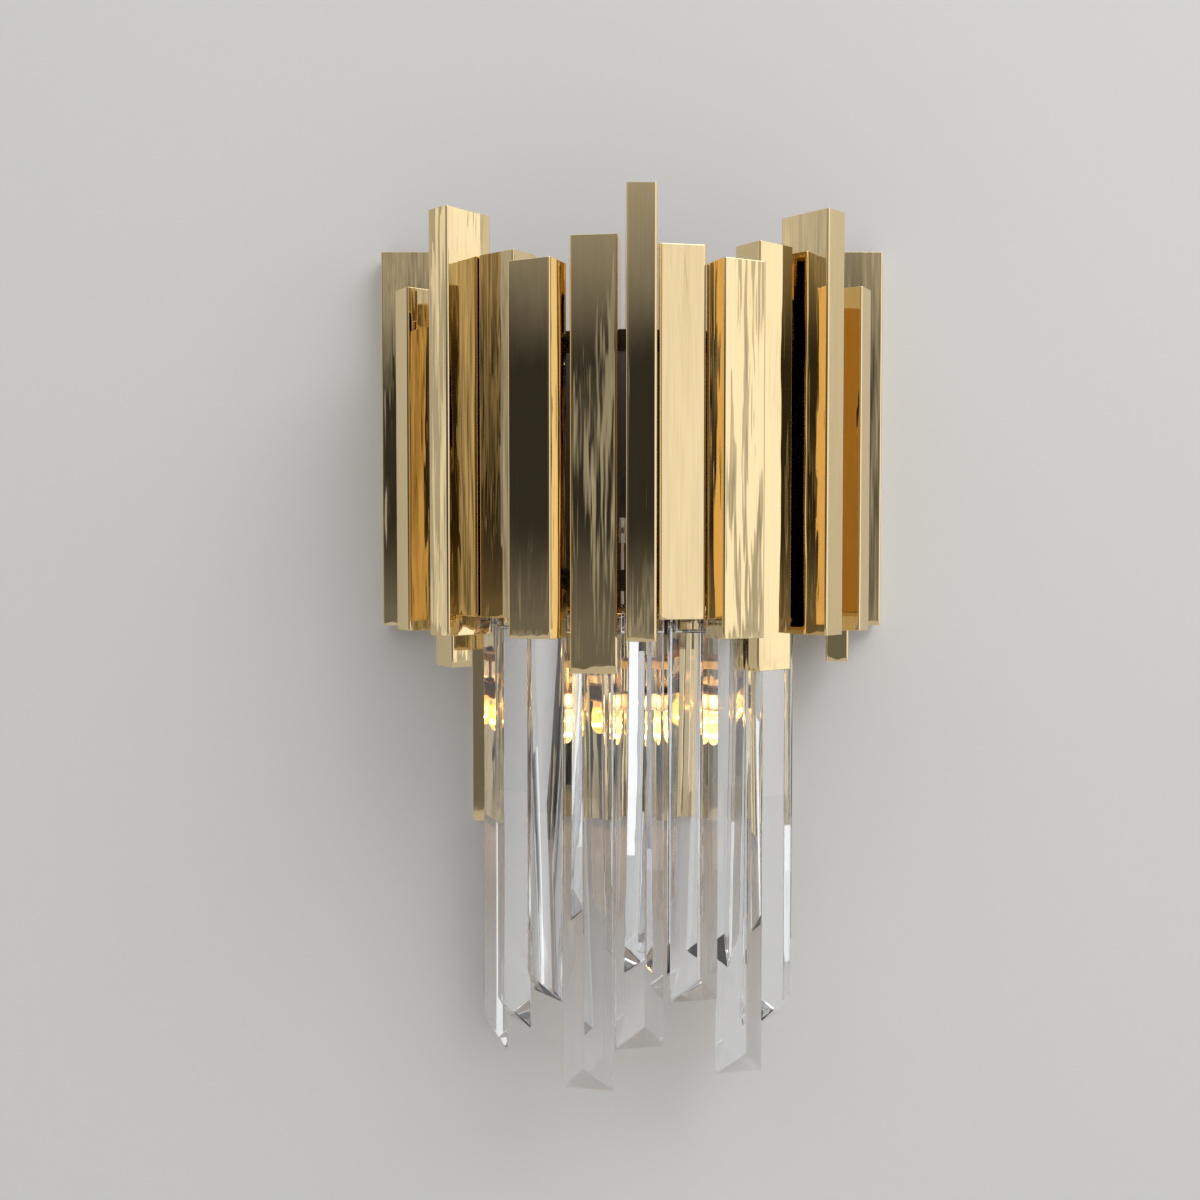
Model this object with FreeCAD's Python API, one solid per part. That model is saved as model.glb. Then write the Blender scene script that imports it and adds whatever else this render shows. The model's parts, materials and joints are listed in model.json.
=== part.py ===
import FreeCAD, Part
import math
import os

# Crystal wall sconce. Millimetres, +X right, -Y out of the wall, +Z up.
# The origin lies on the wall at the middle of the wall strap.

V = FreeCAD.Vector
UP = V(0, 0, 1)
OUT = V(0, -1, 0)

# Shade tubes: slim tubes stand deep, broad tubes stand shallow.
SLIM_WIDE = 16.2
SLIM_DEEP = 33.0
BROAD_WIDE = 26.2
BROAD_DEEP = 20.0
TUBE_WALL = 1.2
TUBE_CORNER = 1.4
TUBE_INSIDE_CORNER = 0.4
LONG_TUBE = 238.0
SHORT_TUBE = 204.0
FRONT_ROW_FOOT = -119.0
RAISED_FOOT = -109.0
DROPPED_FOOT = -138.5
INNER_TUBE_WIDE = 14.0
INNER_TUBE_DEEP = 23.0
INNER_TUBE_LONG = 204.0
INNER_TUBE_FOOT = -140.0

# Middle of each tube's outer face: sideways, out from the wall, turned by (degrees).
# The order runs round the half drum from the left wall side to the right one.
SLIM, BROAD = (SLIM_WIDE, SLIM_DEEP), (BROAD_WIDE, BROAD_DEEP)
TUBES = [
    (-160.0, 8.9, -90.0, SLIM, FRONT_ROW_FOOT, LONG_TUBE),
    (-139.3, 68.7, -54.8, SLIM, FRONT_ROW_FOOT, SHORT_TUBE),
    (-110.8, 121.7, -42.2, SLIM, FRONT_ROW_FOOT, LONG_TUBE),
    (-78.6, 119.2, -37.5, BROAD, RAISED_FOOT, SHORT_TUBE),
    (-58.9, 147.7, -25.5, BROAD, FRONT_ROW_FOOT, SHORT_TUBE),
    (-24.0, 141.6, -7.0, BROAD, DROPPED_FOOT, LONG_TUBE),
    (1.2, 170.5, 0.4, SLIM, FRONT_ROW_FOOT, LONG_TUBE),
    (24.8, 138.3, 10.4, BROAD, RAISED_FOOT, SHORT_TUBE),
    (57.8, 146.2, 25.2, BROAD, FRONT_ROW_FOOT, SHORT_TUBE),
    (78.1, 120.4, 38.0, BROAD, DROPPED_FOOT, LONG_TUBE),
    (112.3, 115.7, 44.6, SLIM, FRONT_ROW_FOOT, LONG_TUBE),
    (138.6, 70.5, 58.9, SLIM, FRONT_ROW_FOOT, SHORT_TUBE),
    (160.0, 8.9, 90.0, SLIM, FRONT_ROW_FOOT, LONG_TUBE),
]
INNER_TUBES = [
    ("inner_tube_left", -101.55, 84.3, 32.0, 1.0),
    ("inner_tube_right", 127.3, 43.0, -10.0, -1.0),
]

# Half hoops that carry the tubes, and the fixings between them.
HOOP_OUTSIDE = 116.5
HOOP_THICK = 3.0
HOOP_TALL = 12.0
UPPER_HOOP_Z = 47.0
LOWER_HOOP_Z = -88.0
HOOP_FOOT_REACH = 18.0
HOOP_FOOT_HOLE_IN = 9.0
SPACER_R = 3.0
SPACER_SEAT_DEPTH = 0.7
HEAD_SEAT_DEPTH = 0.8
SEAT_ROOM = 0.25
END_TUBE_FIXING_OUT = 12.2

# Metric screws.
M3_SHANK_R = 1.5
M3_HOLE_R = 1.65
M3_HEAD_R = 2.75
M3_HEAD_TALL = 2.2
M3_NUT_ACROSS = 5.5
M3_NUT_TALL = 2.4
THREAD_ROOM = 0.05
SCREW_SPARE = 1.6
M4_SHANK_R = 2.0
M4_HOLE_R = 2.2
M4_NUT_ACROSS = 7.0
M4_NUT_TALL = 3.2

# Wall strap: two slotted screw holes and the cable hole between them.
STRAP_LONG = 124.0
STRAP_TALL = 24.0
STRAP_THICK = 2.0
SLOT_SPACING = 60.0
SLOT_WIDE = 5.0
SLOT_LONG = 12.0
STRAP_CABLE_R = 6.0
STUD_SPACING = 104.0

# Back tray, a shallow pan with a narrower chin below.
TRAY_HALF_WIDE = 125.0
TRAY_DEEP = 9.0
TRAY_TOP = 67.0
TRAY_FOOT = -100.0
CHIN_HALF_WIDE = 50.0
CHIN_FOOT = -125.5
TRAY_WALL = 1.2
TRAY_CORNER = 2.0
CABLE_HOLE_Z = -30.0
CABLE_R = 3.6
GROMMET_R = 6.5
GROMMET_LIP = 1.6
GROMMET_LIP_OVER = 1.6

# Lower mirror plate behind the crystals.
PLATE_HALF_WIDE = 103.7
PLATE_TOP = -101.0
PLATE_FOOT = -248.5
PLATE_BACK = 1.0
PLATE_THICK = 1.2
PLATE_CORNER = 1.5
PILLAR_R = 3.2
PILLAR_RIVET_R = 2.2
PILLAR_X = 36.0
PILLAR_Z = -112.0

# Crystals: a right-angled prism section, flat side in, ridge out.
CRYSTAL_WIDE = 30.0
CRYSTAL_DEEP = 15.3
CRYSTAL_TOP = -109.0
CRYSTAL_CUT_RISE = 18.0
CRYSTAL_LONG = 280.0
CRYSTAL_MIDDLE = 255.0
CRYSTAL_SHORT = 230.0
HOLE_BELOW_TOP = 9.0
PIN_R = 1.0
PIN_ROOM = 0.06
# Middle of each crystal's flat face: sideways, out from the wall, turned by (degrees).
OUTER_CRYSTALS = [
    (-79.8, 21.5, -88.0, CRYSTAL_LONG),
    (-70.6, 51.5, -57.0, CRYSTAL_MIDDLE),
    (-51.6, 78.0, -50.0, CRYSTAL_SHORT),
    (-26.9, 94.0, -12.0, CRYSTAL_LONG),
    (2.7, 95.0, 12.5, CRYSTAL_MIDDLE),
    (35.2, 86.5, 12.5, CRYSTAL_SHORT),
    (63.9, 69.0, 12.0, CRYSTAL_LONG),
    (84.9, 46.8, 54.0, CRYSTAL_MIDDLE),
    (88.4, 18.5, 84.0, CRYSTAL_SHORT),
]
INNER_FLAT_R = 56.0
INNER_CRYSTALS = [
    (-66.0, 205.0),
    (-33.0, 226.0),
    (2.0, 192.0),
    (36.0, 226.0),
    (68.0, 205.0),
]

# Crystal rings, their hooks and the two arms that carry the rings.
RING_THICK = 2.5
RING_FOOT = -106.0
OUTER_RING_IN = 82.0
OUTER_RING_OUT = 109.0
OUTER_RING_FROM = 3.4
INNER_RING_IN = 56.0
INNER_RING_OUT = 68.0
INNER_RING_FROM = 6.0
HOOK_HALF_SPAN = 12.5
HOOK_HOLE_ROOM = 0.1
HOOK_HEAD_R = 1.9
HOOK_HEAD_TALL = 0.9
ARM_X = 30.0
ARM_WIDE = 12.0
ARM_THICK = 4.0
ARM_REACH = 110.0
ARM_FOOT_TALL = 22.0
ARM_FOOT_THICK = 3.0

# Lamp bar, channel, holders and bulbs.
BAR_HALF_WIDE = 43.0
BAR_FOOT = -146.0
BAR_THICK = 5.0
BAR_FRONT = 33.0
BAR_TAB_HALF_WIDE = 14.0
BAR_TAB_TOP = -108.0
BAR_TAB_THICK = 2.5
BAR_SCREW_X = 8.0
BAR_SCREW_Z = -115.0
CHANNEL_HALF_WIDE = 41.0
CHANNEL_DEEP = 14.0
CHANNEL_TOP = -162.5
CHANNEL_TALL = 9.0
CHANNEL_WALL = 1.0
LAMP_OUT = 24.0
LAMP_SPACING = 27.0
POST_X = 13.5
HOLDER_WIDE = 17.0
HOLDER_DEEP = 10.0
HOLDER_TALL = 9.5
BULB_R = 6.5
BULB_SHOULDER = 16.0
BULB_PIN_R = 0.5
BULB_PIN_HALF_SPAN = 4.0
BULB_PIN_LONG = 5.0

# Terminal block and the two leads down to the lamp channel.
BLOCK_WIDE = 26.0
BLOCK_TALL = 16.0
BLOCK_DEEP = 12.0
BLOCK_Z = -58.0
BLOCK_MOUTH_R = 1.8
LEAD_R = 1.1
LEAD_X = 6.0
LEAD_OUT = 17.0

EPS = 1.0


def outward(yaw):
    """Level direction that faces out of a piece turned by yaw."""
    a = math.radians(yaw)
    return V(math.sin(a), -math.cos(a), 0)


def rightward(yaw):
    """Level direction along the face of a piece turned by yaw."""
    a = math.radians(yaw)
    return V(math.cos(a), math.sin(a), 0)


def at(x, out, z=0.0):
    """Point given sideways, out from the wall and up."""
    return V(x, -out, z)


def block(x0, x1, out0, out1, z0, z1):
    """Box from its limits, with depth counted out from the wall."""
    return Part.makeBox(x1 - x0, out1 - out0, z1 - z0, V(x0, -out1, z0))


def rod(radius, start, direction, length):
    """Round bar from a start point."""
    return Part.makeCylinder(radius, length, start, direction)


def turned(shape, x, out, yaw, z=0.0):
    """Turn a piece built at the origin about Z and set it in place."""
    shape.rotate(V(0, 0, 0), UP, yaw)
    shape.translate(at(x, out, z))
    return shape


def upright_edges(shape):
    """Edges of a prism that run straight up."""
    found = []
    for edge in shape.Edges:
        way = edge.Vertexes[-1].Point - edge.Vertexes[0].Point
        if way.Length > EPS and abs(way.dot(UP)) > 0.999 * way.Length:
            found.append(edge)
    return found


def rounded_prism(wide, deep, tall, corner, set_back=0.0):
    """Upright bar with rounded corners, outer face on Y = set_back."""
    bar = Part.makeBox(wide, deep, tall, V(-wide / 2, set_back, 0))
    return bar.makeFillet(corner, upright_edges(bar))


def hexagon(across, tall, start, direction):
    """Hexagonal nut blank standing on start."""
    radius = across / math.sqrt(3)
    points = []
    for i in range(7):
        a = math.radians(60 * i)
        points.append(V(radius * math.cos(a), radius * math.sin(a), 0))
    nut = Part.Face(Part.makePolygon(points)).extrude(V(0, 0, tall))
    nut.Placement = FreeCAD.Placement(start, FreeCAD.Rotation(UP, direction))
    return nut


def nut_on(across, tall, shank_r, start, direction):
    """Nut with its threaded bore."""
    blank = hexagon(across, tall, start, direction)
    return blank.cut(rod(shank_r + THREAD_ROOM, start - direction * EPS, direction, tall + 2 * EPS))


def cap_screw(seat, direction, grip, shank_r=M3_SHANK_R, head_r=M3_HEAD_R, head_tall=M3_HEAD_TALL):
    """Socket screw whose head sits on seat and whose shank runs along direction."""
    head = rod(head_r, seat - direction * head_tall, direction, head_tall)
    socket = hexagon(head_r, head_tall * 0.6, seat - direction * head_tall, direction)
    return head.cut(socket).fuse(rod(shank_r, seat, direction, grip)).removeSplitter()


def half_ring(inside, outside, z0, tall, from_wall):
    """Flat or tall half annulus standing clear of the wall."""
    ring = rod(outside, V(0, 0, z0), UP, tall).cut(rod(inside, V(0, 0, z0 - EPS), UP, tall + 2 * EPS))
    room = outside + EPS
    return ring.common(block(-room, room, from_wall, room, z0 - EPS, z0 + tall + EPS))


def run_to_circle(point, direction, radius):
    """Distance along a level line from point in to the circle round the Z axis."""
    b = point.x * direction.x + point.y * direction.y
    c = point.x ** 2 + point.y ** 2 - radius ** 2
    return -b - math.sqrt(b * b - c)


def tube_fixings():
    """Where each tube meets the hoops: face point, way in, row of heights."""
    spots = []
    for x, out, yaw, section, foot, tall in TUBES:
        deep = section[1]
        side = 0.0
        if abs(yaw) > 89.0:
            side = END_TUBE_FIXING_OUT - out
        face = at(x, out + side) - outward(yaw) * deep
        spots.append((face, outward(yaw) * -1))
    for name, x, out, yaw, hand in INNER_TUBES:
        face = at(x, out) - outward(yaw) * (INNER_TUBE_DEEP / 2) + rightward(yaw) * (hand * INNER_TUBE_WIDE / 2)
        spots.append((face, rightward(yaw) * hand))
    return spots


HOOP_INSIDE = HOOP_OUTSIDE - HOOP_THICK
FIXINGS = tube_fixings()
FIXING_HEIGHTS = [UPPER_HOOP_Z, LOWER_HOOP_Z]


def fixing_runs(face, inward):
    """Spacer length and head seat distance of one tube fixing."""
    spacer = run_to_circle(face, inward, HOOP_OUTSIDE) + SPACER_SEAT_DEPTH
    seat = run_to_circle(face, inward, HOOP_INSIDE) - HEAD_SEAT_DEPTH
    return spacer, seat


def make_shade_tube(x, out, yaw, section, foot, tall):
    """Open rectangular tube with its two screw holes."""
    wide, deep = section
    tube = rounded_prism(wide, deep, tall, TUBE_CORNER)
    bore = rounded_prism(wide - 2 * TUBE_WALL, deep - 2 * TUBE_WALL, tall + 2 * EPS,
                         TUBE_INSIDE_CORNER, TUBE_WALL)
    bore.translate(V(0, 0, -EPS))
    return turned(tube.cut(bore), x, out, yaw, foot)


def drill_fixing(tube, face, inward):
    """Screw holes through the wall of a tube that faces the hoops."""
    for z in FIXING_HEIGHTS:
        start = face + V(0, 0, z) - inward * (TUBE_WALL + EPS)
        tube = tube.cut(rod(M3_HOLE_R, start, inward, TUBE_WALL + 2 * EPS))
    return tube


def make_hoop(middle):
    """Half hoop with bent feet and a flat seat for every spacer and screw head."""
    foot_z = middle - HOOP_TALL / 2
    hoop = half_ring(HOOP_INSIDE, HOOP_OUTSIDE, foot_z, HOOP_TALL, TRAY_DEEP)
    end = math.sqrt(HOOP_OUTSIDE ** 2 - TRAY_DEEP ** 2)
    for hand in (-1, 1):
        near, far = hand * (end - HOOP_FOOT_REACH), hand * (end - HOOP_THICK / 4)
        foot = block(min(near, far), max(near, far), TRAY_DEEP, TRAY_DEEP + HOOP_THICK,
                     foot_z, foot_z + HOOP_TALL)
        hoop = hoop.fuse(foot)
    for face, inward in FIXINGS:
        spacer, seat = fixing_runs(face, inward)
        point = face + V(0, 0, middle)
        outer = rod(SPACER_R + SEAT_ROOM, point + inward * (spacer - HOOP_THICK), inward, HOOP_THICK)
        inner = rod(M3_HEAD_R + SEAT_ROOM, point + inward * seat, inward, HOOP_THICK)
        bore = rod(M3_HOLE_R, point + inward * (spacer - EPS), inward, HOOP_THICK + EPS)
        hoop = hoop.cut(outer).cut(inner).cut(bore)
    for spot in foot_spots(middle):
        hoop = hoop.cut(rod(M3_HOLE_R, spot + OUT * HOOP_THICK * 2, OUT * -1, HOOP_THICK * 3))
    return hoop.removeSplitter()


def foot_spots(middle):
    """Screw positions of a hoop's two feet, on the front of the tray."""
    end = math.sqrt(HOOP_OUTSIDE ** 2 - TRAY_DEEP ** 2)
    x = end - HOOP_FOOT_REACH + HOOP_FOOT_HOLE_IN / 2
    return [at(-x, TRAY_DEEP, middle), at(x, TRAY_DEEP, middle)]


def tray_screw_spots():
    """Every screw that goes into the front of the tray."""
    spots = foot_spots(UPPER_HOOP_Z) + foot_spots(LOWER_HOOP_Z)
    return spots


def arm_screw_spots():
    """Two screws in the foot of each ring arm."""
    top = RING_FOOT + RING_THICK + ARM_FOOT_TALL
    return [at(hand * ARM_X + side * ARM_WIDE / 4, TRAY_DEEP, top - ARM_WIDE / 3)
            for hand in (-1, 1) for side in (-1, 1)]


def bar_screw_spots():
    """Screws that hold the lamp bar to the chin of the tray."""
    return [at(-BAR_SCREW_X, TRAY_DEEP, BAR_SCREW_Z), at(BAR_SCREW_X, TRAY_DEEP, BAR_SCREW_Z)]


def pillar_spots():
    """Pillars that carry the mirror plate behind the chin."""
    return [at(-PILLAR_X, 0, PILLAR_Z), at(PILLAR_X, 0, PILLAR_Z)]


def stud_spots():
    """Studs on the wall strap."""
    return [at(-STUD_SPACING / 2, 0), at(STUD_SPACING / 2, 0)]


def make_tray():
    """Shallow pan, open towards the wall, with its chin in front of the plate."""
    pan = block(-TRAY_HALF_WIDE, TRAY_HALF_WIDE, 0, TRAY_DEEP, TRAY_FOOT, TRAY_TOP)
    chin_back = PLATE_BACK + PLATE_THICK
    chin = block(-CHIN_HALF_WIDE, CHIN_HALF_WIDE, chin_back, TRAY_DEEP, CHIN_FOOT, TRAY_FOOT)
    shell = pan.fuse(chin).removeSplitter()
    corners = []
    for edge in shell.Edges:
        a, b = edge.Vertexes[0].Point, edge.Vertexes[-1].Point
        across = abs(abs(a.x) - TRAY_HALF_WIDE) < 0.01 and abs(b.x - a.x) < 0.01
        if across and abs(a.z - b.z) < 0.01 and abs(a.y - b.y) > EPS:
            corners.append(edge)
    shell = shell.makeFillet(TRAY_CORNER, corners)
    w = TRAY_WALL
    hollow = block(-TRAY_HALF_WIDE + w, TRAY_HALF_WIDE - w, -EPS, TRAY_DEEP - w, TRAY_FOOT + w, TRAY_TOP - w)
    throat = block(-CHIN_HALF_WIDE + w, CHIN_HALF_WIDE - w, -EPS, TRAY_DEEP - w,
                   CHIN_FOOT + w, TRAY_FOOT + 2 * w)
    tray = shell.cut(hollow).cut(throat)
    into = OUT * -1
    for spot in tray_screw_spots() + arm_screw_spots() + bar_screw_spots():
        tray = tray.cut(rod(M3_SHANK_R + THREAD_ROOM, spot + OUT * EPS, into, TRAY_WALL + 2 * EPS))
    for spot in pillar_spots():
        tray = tray.cut(rod(M3_HOLE_R, spot + OUT * (TRAY_DEEP + EPS), into, TRAY_WALL + 2 * EPS))
    for spot in stud_spots():
        tray = tray.cut(rod(M4_HOLE_R, spot + OUT * (TRAY_DEEP + EPS), into, TRAY_WALL + 2 * EPS))
    cable = at(0, TRAY_DEEP + EPS, CABLE_HOLE_Z)
    return tray.cut(rod(GROMMET_R, cable, into, TRAY_WALL + 2 * EPS))


def make_strap():
    """Flat steel strap with two slots, the cable hole and the stud holes."""
    strap = block(-STRAP_LONG / 2, STRAP_LONG / 2, 0, STRAP_THICK, -STRAP_TALL / 2, STRAP_TALL / 2)
    into = OUT * -1
    for hand in (-1, 1):
        middle = hand * SLOT_SPACING / 2
        run = (SLOT_LONG - SLOT_WIDE) / 2
        slot = block(middle - run, middle + run, -EPS, STRAP_THICK + EPS, -SLOT_WIDE / 2, SLOT_WIDE / 2)
        for end in (-run, run):
            slot = slot.fuse(rod(SLOT_WIDE / 2, at(middle + end, STRAP_THICK + EPS), into, STRAP_THICK + 2 * EPS))
        strap = strap.cut(slot)
    for spot in stud_spots():
        strap = strap.cut(rod(M4_SHANK_R, spot + OUT * (STRAP_THICK + EPS), into, STRAP_THICK + 2 * EPS))
    return strap.cut(rod(STRAP_CABLE_R, at(0, STRAP_THICK + EPS), into, STRAP_THICK + 2 * EPS))


def make_studs():
    """Threaded studs riveted into the strap."""
    long = TRAY_DEEP + M4_NUT_TALL + SCREW_SPARE
    return [rod(M4_SHANK_R, spot, OUT, long) for spot in stud_spots()]


def make_cap_nuts():
    """Domed nuts that clamp the tray to the strap."""
    nuts = []
    for spot in stud_spots():
        base = spot + OUT * TRAY_DEEP
        hex_part = hexagon(M4_NUT_ACROSS, M4_NUT_TALL, base, OUT)
        dome_r = M4_NUT_ACROSS / 2 - 0.3
        dome = Part.makeSphere(dome_r, base + OUT * M4_NUT_TALL)
        dome = dome.common(rod(dome_r + EPS, base + OUT * (M4_NUT_TALL - 0.2), OUT, dome_r + EPS))
        bore = rod(M4_SHANK_R + THREAD_ROOM, base - OUT * EPS, OUT, EPS + M4_NUT_TALL + SCREW_SPARE + 0.1)
        nuts.append(hex_part.fuse(dome).cut(bore).removeSplitter())
    return nuts


def make_grommet():
    """Rubber ring that lines the cable hole of the tray."""
    front = at(0, TRAY_DEEP + GROMMET_LIP, CABLE_HOLE_Z)
    into = OUT * -1
    lip = GROMMET_R + GROMMET_LIP_OVER
    ring = rod(lip, front, into, GROMMET_LIP)
    ring = ring.fuse(rod(GROMMET_R, front, into, 2 * GROMMET_LIP + TRAY_WALL))
    ring = ring.fuse(rod(lip, at(0, TRAY_DEEP - TRAY_WALL, CABLE_HOLE_Z), into, GROMMET_LIP))
    return ring.cut(rod(CABLE_R, front + OUT * EPS, into, 4 * GROMMET_LIP + TRAY_WALL)).removeSplitter()


def make_block():
    """Terminal block on the front of the tray."""
    body = block(-BLOCK_WIDE / 2, BLOCK_WIDE / 2, TRAY_DEEP, TRAY_DEEP + BLOCK_DEEP,
                 BLOCK_Z - BLOCK_TALL / 2, BLOCK_Z + BLOCK_TALL / 2)
    for hand in (-1, 1):
        mouth = at(hand * LEAD_X, LEAD_OUT, BLOCK_Z - BLOCK_TALL / 2 - EPS)
        body = body.cut(rod(BLOCK_MOUTH_R, mouth, UP, BLOCK_TALL + 2 * EPS))
        driver = at(hand * LEAD_X, TRAY_DEEP + BLOCK_DEEP + EPS, BLOCK_Z)
        body = body.cut(rod(BLOCK_MOUTH_R, driver, OUT * -1, BLOCK_DEEP / 3 + EPS))
    return body


def make_leads():
    """Leads from the terminal block down through the lamp bar to the channel."""
    top = BLOCK_Z - BLOCK_TALL / 4
    return [rod(LEAD_R, at(hand * LEAD_X, LEAD_OUT, CHANNEL_TOP), UP, top - CHANNEL_TOP) for hand in (-1, 1)]


def make_plate():
    """Polished plate flat behind the crystals."""
    plate = block(-PLATE_HALF_WIDE, PLATE_HALF_WIDE, PLATE_BACK, PLATE_BACK + PLATE_THICK,
                  PLATE_FOOT, PLATE_TOP)
    corners = []
    for edge in plate.Edges:
        a, b = edge.Vertexes[0].Point, edge.Vertexes[-1].Point
        if abs(a.y - b.y) > 0.01:
            corners.append(edge)
    plate = plate.makeFillet(PLATE_CORNER, corners)
    for spot in pillar_spots():
        plate = plate.cut(rod(PILLAR_RIVET_R, spot + OUT * (PLATE_BACK + PLATE_THICK + EPS), OUT * -1,
                              PLATE_THICK + 2 * EPS))
    return plate


def make_pillars():
    """Riveted pillars between the plate and the chin of the tray."""
    pillars = []
    front = TRAY_DEEP - TRAY_WALL
    seat = PLATE_BACK + PLATE_THICK
    for spot in pillar_spots():
        pillar = rod(PILLAR_R, spot + OUT * seat, OUT, front - seat)
        pillar = pillar.fuse(rod(PILLAR_RIVET_R, spot + OUT * PLATE_BACK, OUT, PLATE_THICK))
        pillar = pillar.cut(rod(M3_SHANK_R + THREAD_ROOM, spot + OUT * (seat + EPS), OUT, front))
        pillars.append(pillar.removeSplitter())
    return pillars


def make_plate_screws():
    """Screws through the chin into the pillars."""
    reach = TRAY_WALL + (TRAY_DEEP - PLATE_BACK - PLATE_THICK) / 2
    return [cap_screw(spot + OUT * TRAY_DEEP, OUT * -1, reach) for spot in pillar_spots()]


def make_spacers():
    """Round spacers between the tubes and the hoops."""
    spacers = []
    for z in FIXING_HEIGHTS:
        for face, inward in FIXINGS:
            long, seat = fixing_runs(face, inward)
            start = face + V(0, 0, z)
            spacer = rod(SPACER_R, start, inward, long)
            spacers.append(spacer.cut(rod(M3_HOLE_R, start - inward * EPS, inward, long + 2 * EPS)))
    return spacers


def make_tube_screws():
    """Screws from inside the hoops out into the tubes."""
    screws = []
    for z in FIXING_HEIGHTS:
        for face, inward in FIXINGS:
            long, seat = fixing_runs(face, inward)
            grip = seat + TUBE_WALL + M3_NUT_TALL + SCREW_SPARE / 2
            screws.append(cap_screw(face + V(0, 0, z) + inward * seat, inward * -1, grip))
    return screws


def make_tube_nuts():
    """Nuts inside the tubes."""
    nuts = []
    for z in FIXING_HEIGHTS:
        for face, inward in FIXINGS:
            start = face + V(0, 0, z) - inward * TUBE_WALL
            nuts.append(nut_on(M3_NUT_ACROSS, M3_NUT_TALL, M3_SHANK_R, start, inward * -1))
    return nuts


def hole_depth(long):
    """Depth of the pin behind the flat face so that the crystal hangs plumb."""
    d, rise = CRYSTAL_DEEP, CRYSTAL_CUT_RISE
    return (long * d / 3 - rise * d / 6) / (long - rise / 3)


def make_crystal(x, out, yaw, long):
    """Prism with a slanting foot and its pin hole, hung at its place."""
    half = CRYSTAL_WIDE / 2
    corners = [V(-half, 0, 0), V(half, 0, 0), V(0, -CRYSTAL_DEEP, 0), V(-half, 0, 0)]
    body = Part.Face(Part.makePolygon(corners)).extrude(V(0, 0, long))
    low, slope = -EPS, CRYSTAL_CUT_RISE / CRYSTAL_DEEP
    reach = CRYSTAL_DEEP + EPS
    wedge = [V(0, EPS, low - EPS), V(0, EPS, -slope * EPS), V(0, -reach, slope * reach), V(0, -reach, low - EPS),
             V(0, EPS, low - EPS)]
    cutter = Part.Face(Part.makePolygon(wedge)).extrude(V(CRYSTAL_WIDE + 2 * EPS, 0, 0))
    cutter.translate(V(-half - EPS, 0, 0))
    body = body.cut(cutter)
    hole = V(-half - EPS, -hole_depth(long), long - HOLE_BELOW_TOP)
    body = body.cut(rod(PIN_R + PIN_ROOM, hole, V(1, 0, 0), CRYSTAL_WIDE + 2 * EPS))
    return turned(body, x, out, yaw, CRYSTAL_TOP - long)


def inner_place(bearing):
    """Place of an inner crystal's flat face from its bearing."""
    face = outward(bearing) * INNER_FLAT_R
    return face.x, -face.y, bearing


def inner_rows():
    """Inner crystals in the same form as the outer ones."""
    rows = []
    for bearing, long in INNER_CRYSTALS:
        x, out, yaw = inner_place(bearing)
        rows.append((x, out, yaw, long))
    return rows


def pin_middle(x, out, yaw, long):
    """Middle of a crystal's pin."""
    return at(x, out, CRYSTAL_TOP - HOLE_BELOW_TOP) + outward(yaw) * hole_depth(long)


def make_hooks(rows):
    """Staples: a level pin through the crystal and two stems up through the ring."""
    hooks = []
    ring_top = RING_FOOT + RING_THICK
    for x, out, yaw, long in rows:
        middle, along = pin_middle(x, out, yaw, long), rightward(yaw)
        hook = rod(PIN_R, middle - along * HOOK_HALF_SPAN, along, 2 * HOOK_HALF_SPAN)
        for hand in (-1, 1):
            foot = middle + along * (hand * HOOK_HALF_SPAN)
            hook = hook.fuse(rod(PIN_R, foot, UP, ring_top - foot.z))
            hook = hook.fuse(Part.makeSphere(PIN_R, foot))
            head = V(foot.x, foot.y, ring_top)
            hook = hook.fuse(rod(HOOK_HEAD_R, head, UP, HOOK_HEAD_TALL))
        hooks.append(hook.removeSplitter())
    return hooks


def ring_screw_spots(inside, outside):
    """Screws that hang a ring under the two arms."""
    middle = (inside + outside) / 2
    out = math.sqrt(middle ** 2 - ARM_X ** 2)
    return [at(-ARM_X, out), at(ARM_X, out)]


def make_ring(inside, outside, from_wall, rows):
    """Flat half ring with the stem holes of its hooks."""
    ring = half_ring(inside, outside, RING_FOOT, RING_THICK, from_wall)
    for x, out, yaw, long in rows:
        middle, along = pin_middle(x, out, yaw, long), rightward(yaw)
        for hand in (-1, 1):
            spot = middle + along * (hand * HOOK_HALF_SPAN)
            low = V(spot.x, spot.y, RING_FOOT - EPS)
            ring = ring.cut(rod(PIN_R + HOOK_HOLE_ROOM, low, UP, RING_THICK + 2 * EPS))
    for spot in ring_screw_spots(inside, outside):
        low = V(spot.x, spot.y, RING_FOOT - EPS)
        ring = ring.cut(rod(M3_HOLE_R, low, UP, RING_THICK + 2 * EPS))
    return ring


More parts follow.
